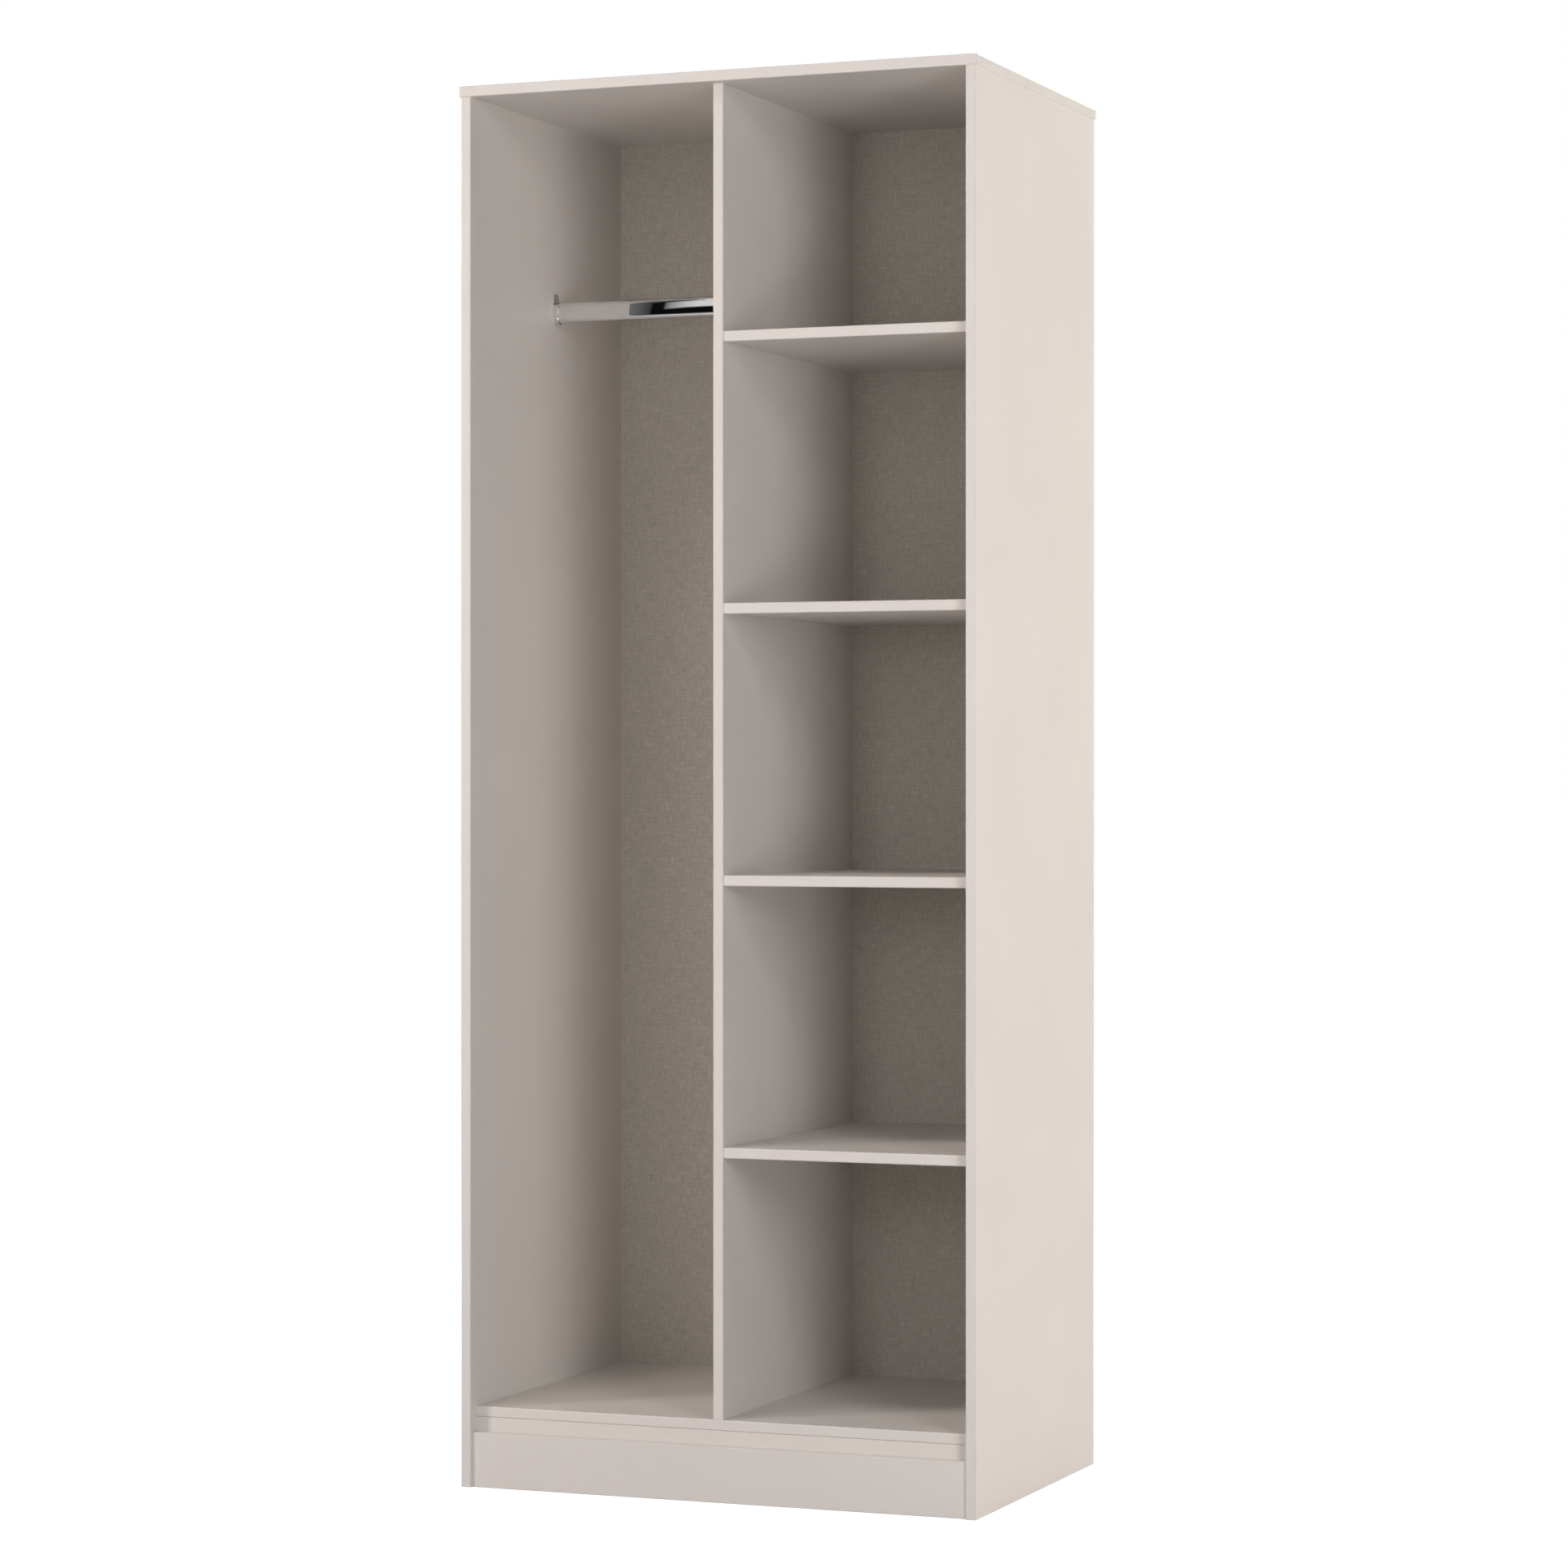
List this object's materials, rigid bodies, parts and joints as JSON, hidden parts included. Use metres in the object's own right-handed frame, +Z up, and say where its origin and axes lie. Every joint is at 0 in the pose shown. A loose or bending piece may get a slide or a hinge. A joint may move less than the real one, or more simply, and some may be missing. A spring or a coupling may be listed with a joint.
{
  "type": "open wardrobe",
  "caption": "Tall open wardrobe carcass with a hanging bay with an oval rail, a bay of fixed shelves, a recessed plinth and a thin back.",
  "frame": {"origin": "middle of the footprint, on the floor", "axes": "+Z up, -Y out of the open front, +X to the right as seen from the front"},
  "size_m": [0.77, 0.53, 1.97],
  "materials": {
    "laminate": "satin cashmere-coloured melamine on particle board, fine pebble texture, raw particle board on unbanded edges",
    "edge_band": "satin plastic edging, colour-matched, with rounded arrises",
    "linen_back": "hardboard with a printed linen-weave face in brown grey, raw brown on the rear",
    "chrome": "bright chrome plate",
    "plated_screw": "bright zinc plate",
    "steel_pin": "plain bright steel",
    "beech": "plain beech, unfinished"
  },
  "bodies": {
    "root": {"top_panel": "laminate", "left_side": "laminate", "right_side": "laminate", "centre_divider": "laminate", "bottom_panel": "laminate", "shelf_1": "laminate", "shelf_2": "laminate", "shelf_3": "laminate", "shelf_4": "laminate", "base_rail_front": "laminate", "base_rail_rear": "laminate", "plinth_fascia": "laminate", "back_panel": "linen_back", "band_top_front": "edge_band", "band_top_left": "edge_band", "band_top_right": "edge_band", "band_left_side": "edge_band", "band_right_side": "edge_band", "band_divider": "edge_band", "band_bottom_panel": "edge_band", "band_shelf_1": "edge_band", "band_shelf_2": "edge_band", "band_shelf_3": "edge_band", "band_shelf_4": "edge_band", "hanging_rail": "chrome", "rail_bracket_left": "chrome", "rail_bracket_right": "chrome", "rail_screws": "plated_screw", "dowels": "beech", "plinth_screws": "plated_screw", "back_pins": "steel_pin"}
  },
  "joints": []
}
